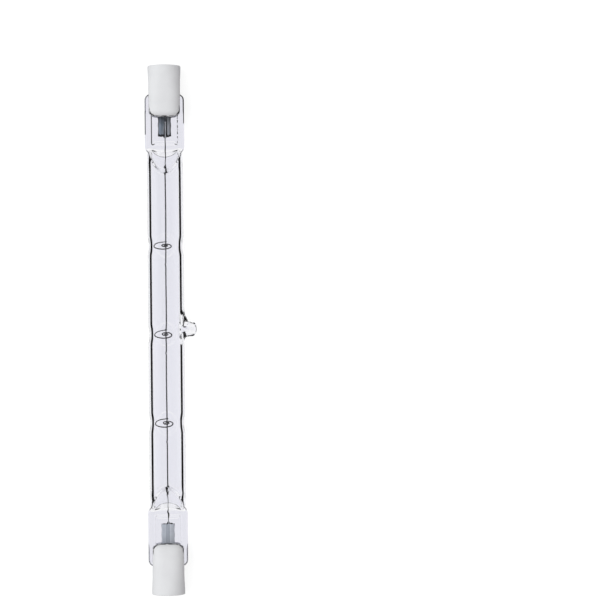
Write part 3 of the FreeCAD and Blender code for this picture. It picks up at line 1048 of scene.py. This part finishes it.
def let_light_through(glass):
    """Make the quartz nearly clear to shadow rays, so that the lamp's inside is lit."""
    rays = glass.add("ShaderNodeLightPath")
    clear = glass.add("ShaderNodeBsdfTransparent")
    clear.inputs["Color"].default_value = (0.9, 0.9, 0.92, 1.0)
    mix = glass.add("ShaderNodeMixShader")
    glass.links.new(rays.outputs["Is Shadow Ray"], mix.inputs["Fac"])
    glass.links.new(glass.shader.outputs["BSDF"], mix.inputs[1])
    glass.links.new(clear.outputs["BSDF"], mix.inputs[2])
    glass.links.new(mix.outputs["Shader"], glass.nodes["Material Output"].inputs["Surface"])


def quartz_finish():
    """Clear quartz with faint draw lines along the tube.

    Where the skin turns away from the eye, a dark band of painted shade stands in for the view that the
    glass bends so far aside, as far as the line marks of the mesh let it. Rings round the supports and
    slight slopes are painted highlights, white in the tint."""
    glass = Finish("clear_quartz", 0.0, Transmission_Weight=1.0, IOR=1.458)
    draw_lines = glass.pattern(900.0, (1.0, 0.03, 1.0), 3.0)
    tint = glass.colours(draw_lines, [(0.3, (0.875, 0.877, 0.915)), (0.7, (0.915, 0.915, 0.953))])
    slopes = painted_slope_highlights(glass)
    blade = glass.mark("blade")
    strength = glass.mark("line")
    tint = glass.blend(blade, tint, (0.8, 0.8, 0.865))
    # Painted highlights: the tint turns white on the rings round the supports and on the slight slopes
    bright = glass.maths("MAXIMUM", painted_support_rings(glass, strength), slopes)
    tint = glass.blend(bright, tint, WHITE)
    # Painted shade: black base colour and black specular tint in the bands where the skin turns away
    dark = painted_dark_bands(glass, blade, strength)
    glass.shade("Base Color", glass.blend(dark, tint, BLACK))
    glass.shade("Specular Tint", glass.blend(dark, WHITE, BLACK))
    glass.bump(draw_lines, 0.000004)
    let_light_through(glass)
    return glass.material


def ceramic_finish(name, dark, light, grain_size, depth, rim=0.0):
    """Fired ceramic with faint clouds, and a broken painted shadow line where a rim is marked."""
    ceramic = Finish(name, 0.7)
    clouds = ceramic.pattern(260.0, detail=5.0)
    colour = ceramic.colours(clouds, [(0.3, dark), (0.7, light)])
    # Painted shadow: a broken near-black line at the marked rim, where the cap meets the glass
    if rim:
        marked = ceramic.mark("rim")
        gaps = ceramic.pattern(1300.0, detail=1.0)
        unbroken = ceramic.times(ceramic.minus(rim, gaps), 8.0, clamp=True)
        line = ceramic.times(marked, unbroken)
        colour = ceramic.blend(line, colour, (0.012, 0.012, 0.014))
    ceramic.shade("Base Color", colour)
    ceramic.vary("Roughness", clouds, 0.55, 0.85)
    ceramic.bump(ceramic.pattern(1.0 / grain_size, detail=3.0), depth)
    return ceramic.material


def metal_finish(name, dark, light, roughness, scale, stretch, depth, metallic=0.9, specular=0.5):
    """Metal with streaks or grain in its colour, roughness and surface."""
    metal = Finish(name, roughness, Metallic=metallic, Specular_IOR_Level=specular)
    streaks = metal.pattern(scale, stretch)
    metal.shade("Base Color", metal.colours(streaks, [(0.3, dark), (0.7, light)]))
    metal.vary("Roughness", streaks, roughness - 0.1, roughness + 0.12)
    metal.bump(streaks, depth)
    return metal.material


def foil_finish(name, stripes, cap_shade, edge_reach):
    """Pressed foil: stripes of painted highlight and painted shade across its width, painted shade
    towards the cap, burnt at its inner edge.
    """
    foil = Finish(name, 0.42, Metallic=0.35)
    across = foil.between(foil.lamp_place("X"), -1.5, 1.5)
    colour = foil.colours(across, stripes)
    streaks = foil.pattern(2600.0, (1.0, 0.07, 1.0))
    streaked = foil.blend(streaks, colour, (0.75, 0.78, 0.8))
    colour = foil.blend(foil.between(streaks, 0.35, 0.75), colour, streaked)
    # Painted shade towards the cap
    depth = foil.minus(HALF_LENGTH, foil.maths("ABSOLUTE", foil.lamp_place("Z")))
    shaded = foil.times(foil.between(depth, 13.6, 11.6), cap_shade)
    colour = foil.blend(shaded, colour, (0.04, 0.045, 0.05))
    inner_edge = 15.9
    burnt = foil.maths("ADD", foil.between(depth, inner_edge - 2 * edge_reach, inner_edge), -0.12)
    unspotted = foil.minus(1.0, foil.pattern(2100.0, detail=2.0))
    burnt = foil.times(foil.minus(burnt, unspotted), 9.0, clamp=True)
    colour = foil.blend(burnt, colour, (0.015, 0.015, 0.018))
    foil.shade("Base Color", colour)
    foil.vary("Roughness", streaks, 0.34, 0.55)
    foil.bump(streaks, 0.000008)
    return foil.material


def lead_painted_highlight_finish():
    """Round lead pressed into the seal: a painted highlight down its middle between painted shade on its
    flanks.
    """
    lead = Finish("molybdenum_lead", 0.4, Metallic=0.3)
    across = lead.between(lead.lamp_place("X"), -0.2, 0.6)
    grain = lead.pattern(1800.0, (1.0, 0.3, 1.0), 3.0)
    uneven = lead.times(lead.minus(grain, 0.5), 0.35)
    across = lead.maths("ADD", across, uneven)
    # Painted highlight down the middle, painted shade on the dark flanks
    colour = lead.colours(across, [(0.34, (0.01, 0.01, 0.012)), (0.42, (0.75, 0.77, 0.8)),
                                   (0.55, (0.77, 0.79, 0.81)), (0.63, (0.012, 0.012, 0.015))])
    lead.shade("Base Color", colour)
    lead.vary("Roughness", grain, 0.3, 0.5)
    lead.bump(grain, 0.00001)
    return lead.material


quartz_glass = quartz_finish()
cap_ceramic = ceramic_finish(
    "cap_ceramic", (0.78, 0.775, 0.795), (0.825, 0.82, 0.84), grain_size=0.00018, depth=0.00001, rim=0.62)
dried_cement = ceramic_finish(
    "cement", (0.74, 0.73, 0.71), (0.82, 0.81, 0.79), grain_size=0.0003, depth=0.00005)
contact_metal = metal_finish(
    "contact_metal", (0.55, 0.54, 0.5), (0.72, 0.71, 0.67),
    roughness=0.32, scale=1500.0, stretch=(1.0, 1.0, 1.0), depth=0.000004)
tungsten = metal_finish(
    "tungsten_wire", (0.005, 0.005, 0.006), (0.018, 0.018, 0.02),
    roughness=0.5, scale=4000.0, stretch=(1.0, 0.2, 1.0), depth=0.000004, metallic=0.1, specular=0.05)
molybdenum = metal_finish(
    "molybdenum", (0.2, 0.235, 0.28), (0.42, 0.46, 0.5),
    roughness=0.35, scale=2200.0, stretch=(1.0, 0.06, 1.0), depth=0.000006)
lead_metal = lead_painted_highlight_finish()
# The same foil as a shaded copy at end a and a lit copy at end b, each striped with painted highlight and
# painted shade
foil_painted_shade = foil_finish(
    "molybdenum_foil_dark",
    [(0.075, (0.015, 0.018, 0.022)), (0.105, (0.28, 0.35, 0.44)), (0.18, (0.2, 0.27, 0.35)),
     (0.34, (0.11, 0.15, 0.19)), (0.48, (0.13, 0.165, 0.2)), (0.54, (0.02, 0.025, 0.03)),
     (0.7, (0.08, 0.085, 0.095)), (0.75, (0.66, 0.7, 0.74)), (0.82, (0.38, 0.4, 0.42)),
     (0.885, (0.32, 0.33, 0.35)), (0.92, (0.02, 0.02, 0.025))],
    cap_shade=0.75, edge_reach=0.95)
foil_painted_light = foil_finish(
    "molybdenum_foil_bright",
    [(0.01, (0.45, 0.47, 0.5)), (0.06, (0.8, 0.84, 0.88)), (0.14, (0.68, 0.72, 0.77)),
     (0.27, (0.66, 0.71, 0.76)), (0.31, (0.82, 0.85, 0.88)), (0.35, (0.5, 0.54, 0.59)),
     (0.62, (0.45, 0.49, 0.535)), (0.67, (0.87, 0.89, 0.91)), (0.75, (0.66, 0.69, 0.72)),
     (0.92, (0.6, 0.62, 0.65)), (0.99, (0.42, 0.43, 0.46))],
    cap_shade=0.1, edge_reach=0.32)

# The pieces, each in place of its node. Turned over copies make end b.

lay_down(quartz_envelope(), quartz_glass, "quartz", "quartz_envelope")
lay_down(filament(), tungsten, "tungsten", "filament")
for number, centre in enumerate(SUPPORT_HEIGHTS, start=1):
    support = spiral_support(number, centre)
    lay_down(support, tungsten, "tungsten", f"filament_support_{number}")

for make, node, slot, finish_a, finish_b in (
    (ceramic_cap, "ceramic_cap", "cap_ceramic", cap_ceramic, cap_ceramic),
    (contact_button, "contact", "contact_metal", contact_metal, contact_metal),
    (seal_foil, "seal_foil", "molybdenum", foil_painted_shade, foil_painted_light),
    (inner_lead, "inner_lead", "molybdenum", lead_metal, lead_metal),
):
    piece_a = make()
    piece_b = turned_over(piece_a, piece_a.name[:-1] + "b")
    lay_down(piece_a, finish_a, slot, node + "_a")
    lay_down(piece_b, finish_b, slot, node + "_b")

# Finishes for the nodes that stay

for end in ("a", "b"):
    for node, finish in (("outer_lead", molybdenum), ("cement", dried_cement)):
        mesh = frame["nodes"][f"{node}_{end}"].data
        mesh.materials.clear()
        mesh.materials.append(finish)


# Studio and camera


def studio_floor():
    """Pale paper. It glows for the camera alone, and glass and metal don't see it."""
    deselect()
    bpy.ops.mesh.primitive_plane_add(size=4.0, location=(0.0, 0.0, 0.0))
    floor = named("floor")
    floor.visible_transmission = False
    floor.visible_glossy = False
    paper = Finish("pale_paper", 0.9, Specular_IOR_Level=0.0)
    paper.shade("Base Color", (0.25, 0.25, 0.25))
    paper.shade("Emission Color", WHITE)
    rays = paper.add("ShaderNodeLightPath")
    paper.shade("Emission Strength", paper.times(rays.outputs["Is Camera Ray"], FLOOR_LEVEL))
    floor.data.materials.append(paper.material)


def studio_world():
    """White surround, a little lower as a light. Mirror-like rays see it darker overhead and at a
    card below and behind the lamp, so that the glass doesn't mirror white all over."""
    world = bpy.data.worlds.new("studio")
    bpy.context.scene.world = world
    world.use_nodes = True
    sky = Nodes(world.node_tree)
    background = sky.nodes["Background"]
    sky.give(background.inputs["Color"], WHITE)
    ray = sky.add("ShaderNodeTexCoord").outputs["Generated"]
    dot = sky.add("ShaderNodeVectorMath", operation="DOT_PRODUCT")
    dot.inputs[1].default_value = to_camera
    sky.links.new(ray, dot.inputs[0])
    upwards = dot.outputs["Value"]
    overhead = sky.times(sky.minus(upwards, OVERHEAD_FROM), 2.0, clamp=True)
    below_top = sky.times(sky.minus(CARD_TOP, upwards), 6.0, clamp=True)
    above_bottom = sky.times(sky.minus(upwards, CARD_BOTTOM), 6.0, clamp=True)
    card = sky.times(below_top, above_bottom)
    unlit = sky.maths("ADD", sky.times(overhead, OVERHEAD_SHADE), sky.times(card, CARD_SHADE))
    mirrored = sky.minus(1.0, unlit)
    rays = sky.add("ShaderNodeLightPath")
    through = sky.maths("MAXIMUM", rays.outputs["Is Camera Ray"], rays.outputs["Is Transmission Ray"])
    change = sky.times(rays.outputs["Is Glossy Ray"], sky.minus(mirrored, DIFFUSE_LEVEL))
    strength = sky.maths("MAXIMUM", through, sky.maths("ADD", change, DIFFUSE_LEVEL))
    sky.links.new(strength, background.inputs["Strength"])


def soft_light():
    """Large soft light from the camera's side and the left, which glass and metal don't mirror."""
    deselect()
    bpy.ops.object.light_add(type="AREA")
    key = bpy.context.object
    key.name = "soft_light_left"
    key.data.shape = "RECTANGLE"
    key.data.size = 0.6
    key.data.size_y = 0.8
    key.data.energy = KEY_WATTS
    key.data.color = (0.92, 1.0, 0.99)
    key.location = axis_place + to_camera * 0.6 - to_right * 0.6 + along * 0.15
    key.rotation_mode = "QUATERNION"
    key.rotation_quaternion = (axis_place - key.location).to_track_quat("-Z", "Y")
    key.visible_transmission = False
    key.visible_glossy = False


def photo_camera():
    """Camera square to the lamp, which shows it at the photo's height, lean and place."""
    pixels_per_unit = LENS / SENSOR * FRAME_PIXELS
    distance = 2 * HALF_LENGTH * MILLIMETRE * pixels_per_unit / LAMP_PIXELS
    camera = bpy.data.objects.new("camera", bpy.data.cameras.new("camera"))
    bpy.context.scene.collection.objects.link(camera)
    bpy.context.scene.camera = camera
    camera.data.lens = LENS
    camera.data.sensor_width = SENSOR
    camera.data.clip_start = 0.01
    camera.data.clip_end = 10.0
    right_by = (FRAME_PIXELS / 2 - LAMP_CENTRE[0]) / pixels_per_unit
    up_by = (LAMP_CENTRE[1] - FRAME_PIXELS / 2) / pixels_per_unit
    forward = (-to_camera + to_right * right_by + along * up_by).normalized()
    leaning = along * math.cos(LEAN) + to_right * math.sin(LEAN)
    side = forward.cross(leaning).normalized()
    up = side.cross(forward).normalized()
    turn = Matrix([[side[i], up[i], -forward[i]] for i in range(3)])
    camera.matrix_world = Matrix.Translation(axis_place + to_camera * distance) @ turn.to_4x4()


studio_floor()
studio_world()
soft_light()
photo_camera()
bpy.context.scene.view_settings.view_transform = "Standard"
